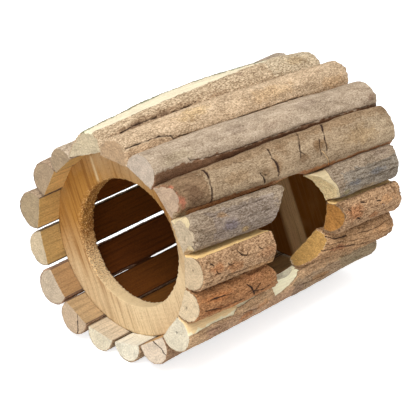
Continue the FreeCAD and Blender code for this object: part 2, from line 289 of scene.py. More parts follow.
LOOKS["stave_03"] = dict(
    tone=(179, 158, 134), speck=0.2, streak=0.3, grit=0.25, furrow=0.2, worn=(0.4, 2.4),
    wood=(226, 190, 150), end=(201, 183, 164), rim=0.35,
    bands=[((0.52, 0.36, 0.27), [(-74, 7.8, 17), (-50, 7.8, 17), (-22, 9.6, 17), (25, 8.6, 17),
        (78, 9, 17)]), ((0.5, 0.42, 0.36), [(-34, 9.8, 17), (25, 9, 17), (78, 9.2, 17)])],
    spots=[(69.5, 5.1, 3.2, 2.4, (0.7, 0.62, 0.6)), (-58, 4, 9, 3, (0.96, 0.97, 0.92)),
        (-20, 1, 7, 2.5, (0.82, 0.8, 0.8)), (0, 4, 8, 2, (0.88, 0.85, 0.84)),
        (28, -1, 9, 2.5, (0.84, 0.82, 0.82)), (48, 3, 6, 2, (0.86, 0.84, 0.82))],
    cracks=[(0.6, (-52, 7.2), (-40.5, 8.8), (-22, 9.4), (-2.5, 8.9), (24.5, 8.4), (53.5, 8.7), (75, 8.8)),
        (0.8, (-53, 5.8), (-51.5, 7.6))],
    bulges=[(-80, 80, 6.5, 2.4, 0.5)])
LOOKS["stave_04"] = dict(
    tone=(162, 138, 109), speck=0.4, grit=0.45, furrow=0.3, worn=(1, 1.6), wood=(226, 188, 140),
    end=(184, 158, 133), cut=(226, 196, 150), lean=(0, 0.35), rim_tone=(176, 100, 84), rim=0.5,
    bands=[(INNER_BARK, [(-66, 8.4, 17), (-50, 9, 17), (-20, 10, 17), (20, 9.8, 17), (76, 9.6, 17)]),
        ((0.66, 0.58, 0.52), [(-76, -14, 9), (-59, -14, 9), (-53, -14, 9)]),
        ((0.86, 0.8, 0.74), [(-53, -14, -4), (0, -14, -5), (76, -14, -6)])],
    spots=[(-71.5, -3, 2.4, 7, (1.55, 0.86, 0.86)), (-68.5, 4.5, 2, 3.5, (1.4, 0.84, 0.84)),
        (62, 0, 14, 9, (1.24, 1.3, 1.36)), (-61, 3, 5, 6, (0.62, 0.56, 0.54)),
        (18.5, -0.4, 4.5, 3, (0.62, 0.52, 0.42)), (-19, 4, 3.4, 2.4, (0.66, 0.6, 0.54)),
        (-11, 2, 3, 5, (0.78, 0.7, 0.62)), (-36, 2, 9, 3, (0.95, 0.9, 0.84)),
        (6, 3, 4, 2, (0.8, 0.72, 0.66)), (48, 1, 12, 5, (1.05, 1, 0.9)), (-4, -3, 4, 3, (0.86, 0.8, 0.74))],
    cracks=[(1.7, (-48.5, -7.5), (-48.8, -5.2), (-50.2, -2.5)),
        (1, (-50.2, -2.5), (-51.5, 0.6), (-52, 7.3), (-52.4, 10)), (1, (-10.8, -6), (-12.5, -1.3)),
        (1.5, (-12.5, -1.3), (-11.2, 1.7), (-11, 5.2)), (1, (-11, 5.2), (-11, 7.6)),
        (1.1, (-22, 3.4), (-20.6, 6), (-19, 8.9)), (0.8, (-19.8, 5), (-18.4, 5.4)),
        (1, (12.5, -9.6), (9, -5.7), (5.5, -0.9), (4, 2.6)), (0.8, (5.4, 0), (7, 1.8)),
        (1.1, (30, -10), (26, -6.5), (23, -1.2), (22, 2.9)), (0.9, (20.4, -3), (17.5, 1), (18, 4.2)),
        (0.7, (-32, -5.6), (-29, -3.6)), (0.6, (47, -3), (48, 1)),
        (0.8, (-66, 9.2), (-48, 9.6), (-34, 10.2))],
    slivers=[(0.9, (18.4, 2.4), (21.6, 6.4), (25.6, 12.2))],
    bulges=[(-80, 80, 7.5, 2.6, 0.4), (-80, 80, 12.6, 1.2, 0.5), (-68, 84, -9.5, 4.5, 0.6)]
    + [(y_from, 84, -9.5, 4.5, 0.45) for y_from in range(-44, 37, 16)])
LOOKS["stave_05"] = dict(
    tone=(158, 138, 115), speck=0.55, streak=1, furrow=1, worn=(1.6, 1.4), wood=(214, 194, 154),
    end=(199, 179, 150), cut=(246, 216, 164), chip=0.4, lean=(0.1, 0.12), rim=-1, cut_rim=-1, stray=0.25,
    bare=[[(-80, -16, 16), (-73.1, -16, 16), (-72.8, -16, -3), (-71, -16, -8.5), (-67, -16, -10.2),
        (-8, -16, -10.2)], [(-73.3, 5, 16), (-71.6, 8, 16), (-70.4, 9.5, 16)], [(2, -16, 16), (19, -16, 16),
        (20, -3.4, 16), (22.5, 0.1, 16), (24, 3.8, 16), (28, 10, 16)], [(18, -16, -6), (20.5, -16, -8),
        (22, -16, -11), (30, -16, -11), (74, -16, -11.4)]],
    bands=[((0.86, 0.88, 0.98), [(-60, -6, 14), (-20, -6, 14)]),
        ((0.8, 0.87, 0.96), [(28, -4, 14), (78, -4, 14)]),
        ((0.74, 0.64, 0.58), [(-80, 9.5, 16), (80, 9.5, 16)])],
    spots=[(-62, 3, 9, 9, (0.86, 0.84, 0.84)), (-50, 1.5, 5, 3, (0.7, 0.72, 0.92)),
        (-41, 5.5, 2.6, 1.4, (1.25, 1.1, 0.72)), (-53, -3.7, 3.2, 1.6, (1.3, 1.08, 0.8)),
        (36, 2, 5, 1.4, (0.74, 0.82, 1)), (54, 0, 7, 1.4, (0.76, 0.84, 1.02)),
        (30, 5.5, 3, 1.6, (1.1, 1.1, 0.8)), (46, 7, 9, 2, (1.2, 1.08, 0.86)),
        (60, -7, 9, 2, (0.86, 0.84, 0.86))],
    cracks=[(0.45, (-60, -4.4), (-44, -4.2), (-26, -4.8)), (0.4, (-66, 2.6), (-50, 3.6), (-34, 3.4)),
        (0.4, (-40, 0.4), (-24, 0.6)), (0.5, (34, -3.4), (50, -2.6), (66, -3)),
        (0.5, (40, 1.6), (56, 2.2), (68, 1.6))],
    bulges=[(-80, 80, -7.4, 3, 1.3), (-80, 80, 7, 3, 0.6), (24, 84, -8.4, 3.6, 0.8),
        (42, 84, -8.4, 3.6, 0.6)])
LOOKS["stave_06"] = dict(
    tone=(177, 140, 104), speck=0.85, streak=0.6, grit=0.9, pits=0.9, worn=(0.4, 1.2), wood=(248, 208, 142),
    end=(212, 187, 152), cut=(176, 124, 64), cut_rim=1.2, stray=0.15, pith=(-1.6, 4.6),
    bare=[[(-76, -18, -7.9), (-57, -18, -8.1), (-33, -18, -8.6), (-10, -18, -8.6)],
        [(20, -18, -9.6), (40, -18, -9.8), (76, -18, -10.4)]],
    bands=[((1.1, 1.02, 0.86), [(-40, 4.5, 9), (-10, 4.5, 9)]),
        ((0.66, 0.52, 0.42), [(-80, 9.4, 16), (80, 9.6, 16)])],
    spots=[(-64, -1, 5, 3, (0.94, 0.72, 0.58)), (-52, 1, 6, 3, (1, 0.84, 0.72)),
        (-30, 0, 8, 3, (1, 0.9, 0.84)), (34, -2, 8, 4, (1, 0.76, 0.62)), (60, -3, 7, 3, (1.22, 1.12, 1)),
        (50, 3, 6, 2, (0.9, 0.72, 0.6))],
    cracks=[(1.1, (-66.5, -4.6), (-65, -3.2)), (0.9, (-64, -0.6), (-62.6, 1.2), (-61, 1.4)),
        (1.1, (-48.6, -6), (-47.4, -4.2)), (0.9, (-47, -3.6), (-43.6, -2.2), (-42.6, -3.4)),
        (0.9, (-34.8, -3.6), (-33, -2.4)), (0.8, (-56, -2), (-54.6, -0.6), (-52.4, -0.8)),
        (0.9, (30, -5), (32, -3.4), (31, -1)), (0.9, (40, -6), (43, -5.4)), (0.9, (36, 1), (39, 2.4)),
        (0.8, (52, -4), (55, -3)), (0.8, (-58, 4), (-44, 4.6), (-34, 4.2))],
    bulges=[(-80, 80, -8.4, 2.2, 1.1), (-80, 80, 7, 3, 0.5)])
LOOKS["stave_07"] = dict(
    tone=(166, 123, 84), speck=0.7, streak=1, grit=0.8, furrow=1.1, worn=(0.4, 1.2), wood=(186, 122, 76),
    end=(226, 202, 166), cut=(198, 154, 89), leans_in=4, blunt=-19.6, pith=(1, 3),
    bands=[((1.04, 0.93, 0.84), [(-76, -10, 6), (-22, -10, 6)]),
        ((1.16, 1.28, 1.4), [(0, -16, 8), (78, -16, 8)]),
        ((0.62, 0.5, 0.42), [(-80, 9.4, 16), (80, 9.6, 16)])],
    spots=[(-60, 0.6, 9, 1.4, (0.8, 0.62, 0.5)), (-33, -6.6, 6, 1.8, (1.3, 1.3, 1.36)),
        (-38, -7.6, 5, 1.4, (1.2, 1.16, 1.2)), (-60, -5, 10, 2, (1.1, 0.96, 0.84)),
        (-48, 4, 10, 1.4, (1.1, 0.86, 0.62)), (62, -4, 7, 3, (1.15, 1.1, 1.05)),
        (30, -1.4, 6, 2, (0.72, 0.56, 0.52))],
    cracks=[(1.3, (-41.5, -5.2), (-38, -2.4), (-36.6, -0.4), (-35, 1.9)),
        (1, (-32.5, -3.2), (-36.6, -0.2), (-40, 0.6)), (0.9, (-36.6, -0.2), (-30, 0.8), (-25, -0.6)),
        (0.8, (-69, -0.8), (-58.5, 1.2), (-49, 0.8), (-42, 1.4)), (0.8, (-66, -5), (-52, -4.4)),
        (0.8, (15.5, -1.5), (30.5, -1.7), (44, 0.4), (60, 1.7), (70, 1.4)),
        (0.8, (22, -8.8), (27, -6.3), (35.5, -6.3)), (0.6, (18.5, -5.1), (24, -4), (33, -4.2)),
        (0.6, (44, -6), (58, -5.4), (67, -7)), (0.5, (38, -3), (52, -2.6))],
    bulges=[(-80, -5, -6.4, 3, 0.6)])
LOOKS["stave_08"] = dict(
    tone=(192, 156, 118), speck=0.5, streak=0.8, grit=0.6, furrow=0.8, worn=(0.4, 1.4),
    wood=(252, 238, 202), end=(231, 218, 192), cut=(250, 238, 204), pith=(-1, 4), cut_rim=-1, stray=0.3,
    bare=[[(-76, -18, -6.7), (-54, -18, -7.4), (-43, -18, -6.7), (-40, -18, -8.9), (-29, -18, -9.6),
        (-22, -18, -11)], [(-14, -18, -10), (-12.5, -18, -5.6), (-7, -18, -6.6), (-1, -18, -7.9),
        (5.5, -18, -10), (7.5, -18, -12)]],
    bands=[((1, 0.8, 0.62), [(-80, -18, -7.9), (-57, -18, -7.6), (-38, -18, -8.6)]),
        ((0.9, 0.88, 0.94), [(-60, -6, 10), (10, -6, 10)]),
        ((0.66, 0.7, 0.76), [(2, -8, 12), (78, -8, 12)]), ((1, 1.1, 1.1), [(40, -8, 12), (78, -8, 12)]),
        ((0.6, 0.48, 0.4), [(-80, 7.5, 16), (80, 7.5, 16)])],
    spots=[(-34, -3, 5, 2, (0.96, 0.72, 0.54)), (-22, -5, 6, 2, (1.1, 0.96, 0.8)),
        (24, -4, 8, 2, (0.9, 0.74, 0.58)), (-58, -3, 6, 2, (0.82, 0.76, 0.78)),
        (52, -3, 6, 2, (0.8, 0.82, 0.78))],
    cracks=[(1.2, (-49.6, 1.4), (-48.4, -0.6), (-46.4, -2.4)), (0.5, (-62, -5), (-52, -4.6)),
        (0.6, (-36, -5.4), (-24, -4)), (0.6, (6, -5), (20, -3.6), (34, -3)), (0.5, (38, 0), (52, 0.6))])
LOOKS["stave_09"] = dict(
    tone=(164, 130, 100), speck=0.7, grit=0.8, furrow=0.6, end=(228, 208, 184), flat=(206, 164, 112),
    end_crack=True)
LOOKS["stave_10"] = dict(
    tone=(172, 142, 110), end=(240, 230, 206), flat=(247, 238, 216), painted_light_inside=(24, 60, 0.6))
LOOKS["stave_11"] = dict(
    tone=(178, 150, 118), end=(234, 220, 192), flat=(214, 195, 166), painted_light_inside=(24, 60, 0.5))
LOOKS["stave_12"] = dict(
    tone=(168, 136, 108), end=(206, 180, 150), flat=(187, 156, 115), end_crack=True,
    swollen=[(1, -28, -11, 0.6)],
    bare=[[(8, -2.2, -2), (14, -6, 1), (30, -6.4, 0), (37, -3.2, -3)]])
LOOKS["stave_13"] = dict(
    tone=(172, 136, 110), end=(204, 184, 158), flat=(176, 138, 95),
    swollen=[(-1, -28, -11, 0.6)])
LOOKS["stave_14"] = dict(
    tone=(166, 142, 110), speck=0.5, grit=0.6, furrow=0.4, end=(210, 189, 156), flat=(186, 150, 93),
    bare=[[(-54, 4.4, 4.6), (-44, 2.6, 6.5), (-26, 3.2, 7.4), (-16, 6, 6.2)]])
LOOKS["stave_15"] = dict(
    tone=(166, 142, 116), speck=0.5, streak=0.4, grit=0.5, furrow=0.4, end=(175, 153, 121),
    flat=(208, 166, 101), rim=0.6)
LOOKS["stave_16"] = dict(
    tone=(170, 144, 118), speck=0.5, streak=0.4, grit=0.5, furrow=0.4, end=(175, 151, 122),
    flat=(224, 180, 114), rim=0.8)
LOOKS["stave_17"] = dict(
    tone=(182, 162, 138), speck=0.4, streak=0.4, grit=0.4, furrow=0.3, worn=(0.5, 2), end=(173, 150, 121),
    flat=(210, 170, 106),
    bands=[((0.92, 0.94, 0.98), [(40, -10, 14), (78, -10, 14)])],
    spots=[(60, 5, 8, 3, (0.86, 0.84, 0.86))])


# ---------------------------------------------------------------- a split branch as a surface
ROW_STEP = 0.45         # rows along a stave lie this far apart, and nearer together at its ends
END_ROWS = (0.0, 0.12, 0.28, 0.5, 0.8, 1.15, 1.5, 1.9, 2.3, 2.75)
FLAT_STEPS = 18
NOTCH_STEPS = 8
ARC_STEPS = 88
ARC_STEP_LENGTH = 0.35  # about how far apart the points over the bark lie
CAP_RINGS = (0.985, 0.955, 0.91, 0.85, 0.77, 0.68, 0.58, 0.47, 0.36, 0.25, 0.14, 0.05)
CAP_MIDDLE = 0.42       # share of the thickness at which an end's rings draw together
SECTION_ROUNDS, SAW_ROUNDS, HALVINGS = 3, 5, 24     # tries until a place that depends on itself settles
MOST_CUT, LEAST_CUT = 0.9, 0.004                    # limits of the share that a notch takes off
FLAT, SAWN, BARK = 0, 1, 2
BARK_THICKNESS = 0.5
CRACK_DEPTH = 0.8
BAND_STRAY = 0.8        # how ragged the edges of a band of another shade are
ENTRANCE_WEAR = 0.5     # radius that the side entrance's sawn edges are worn to
CABIN_END = 54.0        # painted shade inside the house reaches this far from the middle
WOOD_APART = 400        # each stave's wood is taken from a place this far along from the last one's


def notch_share(stave, y, side, on_arc):
    """Share of the flat or arc that the side entrance takes off one corner, by halving.

    The corner lies inside the saw's round, and the far end of the line outside it, so the share
    is where the line crosses the round. Where the corner is clear of the saw it is barely broken.
    """
    low, high = np.zeros(y.shape), np.full(y.shape, MOST_CUT)
    radius, centre, corner = stave.arc(y)
    for _ in range(HALVINGS):
        share = (low + high) / 2
        if on_arc:
            turn = corner + share * (math.pi - 2 * corner)
            across, up = side * radius * np.cos(turn), centre + radius * np.sin(turn)
        else:
            across, up = side * stave.width(y) * (0.5 - share), 0 * y
        taken = inside_saw(*stave.place(across, up, y)) < 0
        low, high = np.where(taken, share, low), np.where(taken, high, share)
    return np.maximum(np.where(low < 1e-5, 0, high), LEAST_CUT)


def zones_of(notch_side):
    """Which finish each point of an outline has: flat first, then the notch's face, then bark."""
    return np.repeat([FLAT, SAWN, BARK], [FLAT_STEPS, NOTCH_STEPS if notch_side else 0, ARC_STEPS])


def section_loops(stave, y, notch_side):
    """Closed outlines of the stave: along the flat, up the notch's face, and back over the bark.

    y has a row for each outline and a column for each of its points.
    """
    side = notch_side or 1
    notch = NOTCH_STEPS if notch_side else 0
    flat_y, notch_y, arc_y = np.split(y, [FLAT_STEPS, FLAT_STEPS + notch], axis=1)
    flat_cut, arc_cut = np.zeros((len(y), 1)), np.zeros((len(y), 1))
    if notch_side:
        flat_cut = notch_share(stave, notch_y[:, :1], side, False)
        arc_cut = notch_share(stave, notch_y[:, :1], side, True)
    steps = np.linspace(0, 1, FLAT_STEPS, endpoint=bool(notch_side))
    flat_across = side * stave.width(flat_y) * (steps * (1 - flat_cut) - 0.5)
    flat_up = 0 * flat_across
    radius, centre, corner = stave.arc(arc_y)
    sweep = arc_cut + (1 - arc_cut) * np.linspace(0, 1, ARC_STEPS, endpoint=False)
    turn = corner + (math.pi - 2 * corner) * sweep
    arc_across, arc_up = side * radius * np.cos(turn), centre + radius * np.sin(turn)
    climb = np.linspace(0, 1, notch + 2)[1:-1]
    notch_across = flat_across[:, -1:] + (arc_across[:, :1] - flat_across[:, -1:]) * climb
    notch_up = flat_up[:, -1:] + (arc_up[:, :1] - flat_up[:, -1:]) * climb
    across = np.concatenate([flat_across, notch_across, arc_across], 1)
    up = np.concatenate([flat_up, notch_up, arc_up], 1)
    return across, up


def spread_rows(stave, end_surfaces, points, notch_side):
    """Y of every point of a piece, and where each line along it starts and stops.

    The rows lie close together at both ends and evenly between them. Where an end lies depends on
    the section there, and the section on where it lies, so they are worked out by turns.
    """
    first, last = end_surfaces
    length = stave.back - stave.front
    near = np.array(END_ROWS) / length
    evenly = np.linspace(0, 1, int(length / ROW_STEP))[2:-2]
    evenly = evenly[(evenly > near[-1]) & (evenly < 1 - near[-1])]
    share = np.concatenate([near, evenly, 1 - near[::-1]])[:, None]
    y = stave.front + share * length + np.zeros((len(share), points))
    for _ in range(SECTION_ROUNDS):
        across, up = section_loops(stave, y, notch_side)
        start, stop = first(across[:1], up[:1]), last(across[-1:], up[-1:])
        y = start + share * (stop - start)
    return y, start, stop


def strip(around, y, outline, seed, stray):
    """One inside a ragged strip, nought outside: outline has rows of (y, around from, around to)."""
    place, left, right = np.array(outline, float).T
    inside = np.minimum(around - np.interp(y, place, left), np.interp(y, place, right) - around)
    lengthwise = np.minimum(y - place[0], place[-1] - y)
    ragged = stray * cloud(y / 3.0, around / 1.6, seed, 3)
    return ramp(np.minimum(inside + ragged, lengthwise + 3 * ragged), -0.22, 0.22)


def line(around, y, path, seed):
    """One at the middle of a wandering line through (y, around) places, falling straight to its edges."""
    width, *places = path
    y = y + 0.2 * cloud(around / 2.0, y / 2.4, seed, 2)
    around = around + 0.2 * cloud(y / 3.4, around / 2.0, seed + 3, 2)
    distance = np.full(y.shape, 99.0)
    for (y_from, around_from), (y_to, around_to) in zip(places, places[1:]):
        run, turn = y_to - y_from, around_to - around_from
        share = np.clip(((y - y_from) * run + (around - around_from) * turn) / (run ** 2 + turn ** 2), 0, 1)
        off_line = np.hypot(y - y_from - share * run, around - around_from - share * turn)
        distance = np.minimum(distance, off_line)
    thick = np.maximum(width * (0.85 + 0.5 * cloud(y / 2.5, around / 2.5, seed + 5)), 0.5)
    return min(width, 1) * np.clip(1.2 - distance / (thick / 2), 0, 1)


def blot(around, y, spot, seed):
    """One in the middle of an uneven soft spot: spot is (y, around, half length, half width)."""
    place, side, long, wide = spot
    stray = 0.35 * cloud(y / 2.5, around / 2.0, seed, 3)
    return ramp(-np.hypot((y - place) / long, (around - side) / wide) + stray, -1.2, -0.4)


def bark_marks(stave, around, y):
    """What lies on the bark, point by point: shares of bare wood and of crack, and a wash of colour.

    Every mark has a seed of its own, counted up from the stave's and from its kind's.
    """
    look, seed = stave.look, 500 + 100 * stave.number
    bare, crack, wash = np.zeros(y.shape), np.zeros(y.shape), np.ones(y.shape + (3,))
    for own, outline in enumerate(look["bare"], seed):
        bare = np.maximum(bare, strip(around, y, outline, own, look["stray"]))
    shades = [(strip(around, y, outline, own, BAND_STRAY), shade)
              for own, (shade, outline) in enumerate(look["bands"], seed + 20)]
    shades += [(blot(around, y, spot, own), shade)
               for own, (*spot, shade) in enumerate(look["spots"], seed + 40)]
    for share, shade in shades:
        wash = wash * (1 + share[..., None] * (np.array(shade) - 1))
    for own, path in enumerate(look["cracks"], seed + 60):
        crack = np.maximum(crack, line(around, y, path, own))
    for own, path in enumerate(look["slivers"], seed + 90):
        bare = np.maximum(bare, line(around, y, path, own))
    return bare, crack, wash


def bark_relief(stave, around, y, bare, crack):
    """Height in mm over the arc, and its rough part alone.

    Long low swells and the look's own bulges carry ridges drawn out lengthwise, fine grains and
    small pits. Bare wood lies one bark's thickness lower and is smooth, and cracks are cut in.
    """
    look, seed = stave.look, stave.number
    swells = 0.30 * cloud(y / 26, around / 9, seed) + 0.16 * cloud(y / 9, around / 4, seed + 40)
    ridges = 0.20 * look["furrow"] * cloud(y / 8, around / 0.9, seed + 80, 2)
    grains = 0.15 * look["grit"] * cloud(y / 1.1, around / 0.85, seed + 120, 2)
    pits = -0.55 * look["pits"] * ramp(cloud(y / 2.0, around / 1.3, seed + 160, 2), 0.55, 1.0)
    rough = (ridges + grains + pits) * (1 - 0.75 * bare)
    for y_from, y_to, side, wide, high in look["bulges"]:
        swells = swells + high * bump(around, side, wide) * between(y, y_from, y_to, 6)
    return swells + rough - BARK_THICKNESS * bare - CRACK_DEPTH * crack, rough - 0.3 * crack


def sawn_relief(across, up, seed):
    """Saw marks across a sawn face in mm: shallow straight waves, torn fibres and a slow swell."""
    tilt = 0.6 + 0.9 * math.sin(seed)
    waves = 0.06 * np.sin((across * math.cos(tilt) + up * math.sin(tilt)) * 2 * math.pi / 1.3)
    fibres = 0.13 * cloud(across / 0.5, up / 0.5, seed + 7, 2)
    return waves + fibres + 0.14 * cloud(across / 3, up / 3, seed + 9)


def worn_edge(inward, radius):
    """How far a quarter round of that radius drops, a distance in from its edge."""
    short = np.clip(radius - inward, 0, radius)
    return radius - np.sqrt(radius ** 2 - short ** 2)


def worn_section(stave, across, up, y, relief, zones):
    """Outlines moved out by the bark's relief, away from the arc's centre, and roughened inside.

    The relief fades to nothing at the flat's corners. The flat dips along the grain, a notch's
    face is frayed, and a swollen edge reaches farther across.
    """
    centre = stave.arc(y)[1]
    from_corner = np.minimum(np.arange(ARC_STEPS), np.arange(ARC_STEPS)[::-1] + 1) * ARC_STEP_LENGTH
    fade = np.concatenate([np.zeros(y.shape[1] - ARC_STEPS), ramp(from_corner, 0, 1.0)])
    away = np.hypot(across, up - centre)
    half = stave.width(y) / 2
    dip = 0.12 * cloud(y / 8, across / 1.2, stave.number + 300, 2) * (zones == FLAT)
    worn_across = across + across / away * relief * fade
    worn_up = up + (up - centre) / away * relief * fade + dip * ramp(half - np.abs(across), 0, 1)
    worn_across += 0.15 * cloud(y / 0.6, up / 0.6, stave.number + 320, 2) * (zones == SAWN)
    for side, y_from, y_to, swell in stave.look["swollen"]:
        worn_across += side * swell * ramp(side * across, half - 2, half) * between(y, y_from, y_to, 5)
    return worn_across, worn_up


def end_cap(stave, surface, across, up, y, sign):
    """Rings that close an end, each its outline drawn in to the section's middle, with saw marks."""
    middle = CAP_MIDDLE * stave.thickness(y.mean())
    rings = np.array(CAP_RINGS)[:, None]
    ring_across, ring_up = across * rings, middle + (up - middle) * rings
    saw_marks = sawn_relief(ring_across, ring_up, stave.number + 20 * (1 + sign))
    return ring_across, ring_up, surface(ring_across, ring_up) + sign * saw_marks * ramp(1 - rings, 0, 0.06)


def stave_surface(stave, end_surfaces, notch_side=0):
    """Closed skin of one piece of a stave: rows of section outlines between two end surfaces.

    Each end is closed by rings that shrink to the section's middle. Returns the points, what the
    finishes need to know about them, and the faces' finishes.
    """
    first, last = end_surfaces
    look, zones = stave.look, zones_of(notch_side)
    y, start, stop = spread_rows(stave, end_surfaces, len(zones), notch_side)
    across, up = section_loops(stave, y, notch_side)
    radius, centre, _ = stave.arc(y)
    around = radius * np.arctan2(across, up - centre)
    bare, crack, wash = bark_marks(stave, around, y)
    relief, rough = bark_relief(stave, around, y, bare, crack)
    front_worn, back_worn = look["worn"]
    edge = worn_edge(y - start, front_worn if first.outer else ENTRANCE_WEAR)
    edge = edge + worn_edge(stop - y, back_worn if last.outer else ENTRANCE_WEAR)
    chipped = 1 + 0.6 * cloud(around / 1.6, y / 1.6, stave.number + 260, 2)
    across, up = worn_section(stave, across, up, y, relief - edge * chipped, zones)

    front_cap = [value[::-1] for value in end_cap(stave, first, across[0], up[0], y[0], -1)]
    back_cap = end_cap(stave, last, across[-1], up[-1], y[-1], 1)
    across, up, y = (np.concatenate(rows) for rows in zip(front_cap, (across, up, y), back_cap))

    def with_caps(value, front=0, back=0):
        """A fact about the outlines' points, and its one value for each cap."""
        cap = np.ones((len(CAP_RINGS), *value.shape[1:]))
        return np.concatenate([cap * front, value, cap * back])

    on_bark, on_notch = zones == BARK, np.ones(bare.shape) * (zones == SAWN)
    radius, centre, _ = stave.arc(y)
    # painted shade on the wood inside the house
    painted_inside_shade = between(y, -CABIN_END, CABIN_END, 4)
    # painted light: where light falls in through the side entrance, the painted shade inside is lessened
    pale_from, pale_to, pale = look["painted_light_inside"]
    facts = dict(
        wood=np.stack([across, y + WOOD_APART * stave.number, up], -1) * MM,
        bare=with_caps(bare * on_bark), crack=with_caps(crack * on_bark), rough=with_caps(rough * on_bark),
        cut=with_caps(on_notch, not first.outer, not last.outer), wash=with_caps(wash, 1, 1),
        depth=np.maximum(radius - np.hypot(across, up - centre), 0),
        painted_inside_shade=painted_inside_shade * (1 - pale * between(y, pale_from - 5, pale_to + 5, 10)),
    )
    cap_zones = np.full((len(CAP_RINGS), len(zones)), SAWN)
    face_zones = np.concatenate([cap_zones, np.tile(zones, (len(bare) - 1, 1)), cap_zones])
    return np.stack(stave.place(across, up, y), -1), facts, face_zones


def make_piece(name, points, faces, slots, facts):
    """Mesh object from points in mm measured from the axis; facts are numbers or triples at each point."""
    mesh = bpy.data.meshes.new(name)
    mesh.from_pydata((points + (0, 0, AXIS_HEIGHT)) * MM, [], faces)
    mesh.polygons.foreach_set("material_index", np.asarray(slots, np.int32))
    mesh.polygons.foreach_set("use_smooth", np.ones(len(mesh.polygons), bool))
    for key, value in facts.items():
        kind, field = ("FLOAT_VECTOR", "vector") if value.ndim == 2 else ("FLOAT", "value")
        mesh.attributes.new(key, kind, "POINT").data.foreach_set(field, value.astype(np.float32).ravel())
    mesh.validate()
    piece = bpy.data.objects.new(name, mesh)
    bpy.context.scene.collection.objects.link(piece)
    return piece


def grid_of(place):
    """Numbers of a grid's points, of the next ones in their rows, and of every square's corners."""
    rows, points = place.shape[:2]
    index = np.arange(rows * points).reshape(rows, points)
    after, below = np.roll(index, -1, 1), np.roll(index, -1, 0)
    return index, after, np.stack([index, below, np.roll(below, -1, 1), after], -1)


def tube_mesh(name, place, facts, zones, turned):
    """Mesh of a closed tube of rows, each end drawn together in one middle point.

    place holds X, Y and Z in mm for every row and point, zones the material of each square
    between two rows and two points. A tube whose points run the other way round is turned.
    """
    index, after, quads = grid_of(place)
    quads = quads[:-1].reshape(-1, 4)
    first_middle, last_middle = np.full_like(index[0], index.size), np.full_like(index[0], index.size + 1)
    first_fan = np.stack([index[0], after[0], first_middle], -1)
    last_fan = np.stack([index[-1], last_middle, after[-1]], -1)
    fans = np.concatenate([first_fan, last_fan])
    if turned:
        quads, fans = quads[:, ::-1], fans[:, ::-1]

    def with_middles(value):
        """The rows one after the other, then the mean of the first row and of the last."""
        return np.concatenate([value.reshape(-1, *value.shape[2:]), value[:1].mean(1), value[-1:].mean(1)])

    slots = np.concatenate([zones.reshape(-1), np.full(len(fans), zones[0, 0])])
    facts = {key: with_middles(value) for key, value in facts.items()}
    return make_piece(name, with_middles(place), quads.tolist() + fans.tolist(), slots, facts)


def doughnut_mesh(name, place, facts):
    """Mesh of rows that close on themselves both ways."""
    quads = grid_of(place)[2].reshape(-1, 4)[:, (0, 3, 2, 1)]
    facts = {key: value.reshape(-1, *value.shape[2:]) for key, value in facts.items()}
    return make_piece(name, place.reshape(-1, 3), quads.tolist(), np.zeros(len(quads)), facts)


# ---------------------------------------------------------------- where the pieces of a stave end
BACK_CHIP = 0.12        # how far the saw chipped a back end


class EndSurface:
    """Y of a piece's end at any point of its section; outer ends are the stave's own."""

    def __init__(self, formula, outer):
        self.formula, self.outer = formula, outer

    def __call__(self, across, up):
        return self.formula(across, up)


def sawn_end(stave, at_back):
    """The stave's own end: square to the house's axis, with a slight lean, a slow swell and chips."""
    seed = stave.number + 60 * at_back
    place = stave.back if at_back else stave.front
    lean_across, lean_up = (0, 0) if at_back else stave.look["lean"]
    chip = BACK_CHIP if at_back else stave.look["chip"]

    def formula(across, up):
        chips = chip * np.abs(cloud(across / 2.2, up / 2.2, seed + 200, 3))
        rough = 0.15 * cloud(across / 6, up / 6, seed) + chips
        return place + lean_across * across + lean_up * up + (1 - 2 * at_back) * rough
    return EndSurface(formula, True)


def entrance_end(stave, side):
    """The round wall that the side entrance's saw leaves, worked out at each point's own X and Z.

    Its rim is splintered. Where the look says blunt, the piece before the entrance stops short there.
    """
    blunt = stave.look["blunt"] if side < 0 else None

    def formula(across, up):
        y = np.zeros(np.shape(across)) + side * 0.001 + SAW_FROM_MIDDLE
        for _ in range(SAW_ROUNDS):
            on_side = np.where(side * (y - SAW_FROM_MIDDLE) > 0, y, SAW_FROM_MIDDLE + side)
            x, _, z = stave.place(across, up, on_side)
            y = saw_reach(x, z, side)
        if blunt is not None:
            y = np.minimum(y, blunt + 1.6 * cloud(across / 2.4, up / 2.4, stave.number + 420, 3))
        return y + 0.35 * cloud(across / 0.9, up / 0.9, stave.number + 400, 2)
    return EndSurface(formula, False)


def stave_pieces(stave):
    """Every piece of a stave: its node's name, its two end surfaces and its notched side."""
    front, back = sawn_end(stave, False), sawn_end(stave, True)
    if stave.name in CUT_STAVES:
        before, behind = entrance_end(stave, -1), entrance_end(stave, 1)
        return [(stave.nodes[0], (front, before), 0), (stave.nodes[1], (behind, back), 0)]
    return [(stave.name, (front, back), NOTCHED_STAVES.get(stave.name, 0))]


# ---------------------------------------------------------------- finishes
CRACK_COLOUR = paint((52, 34, 26))
PAINTED_CABIN_SHADE = (0.36, 0.16, 0.035)       # painted shade inside the house: what is left of the wood's red, green and blue there
RINGS_MIDDLE = (0.4, 2.6)               # where the growth rings of an end start, across and up
# the colour of the painted light on the ring
PAINTED_LIGHT_TONE = (232, 206, 160)
TORN_DARK, TORN_LIGHT = (124, 78, 34), (232, 184, 122)


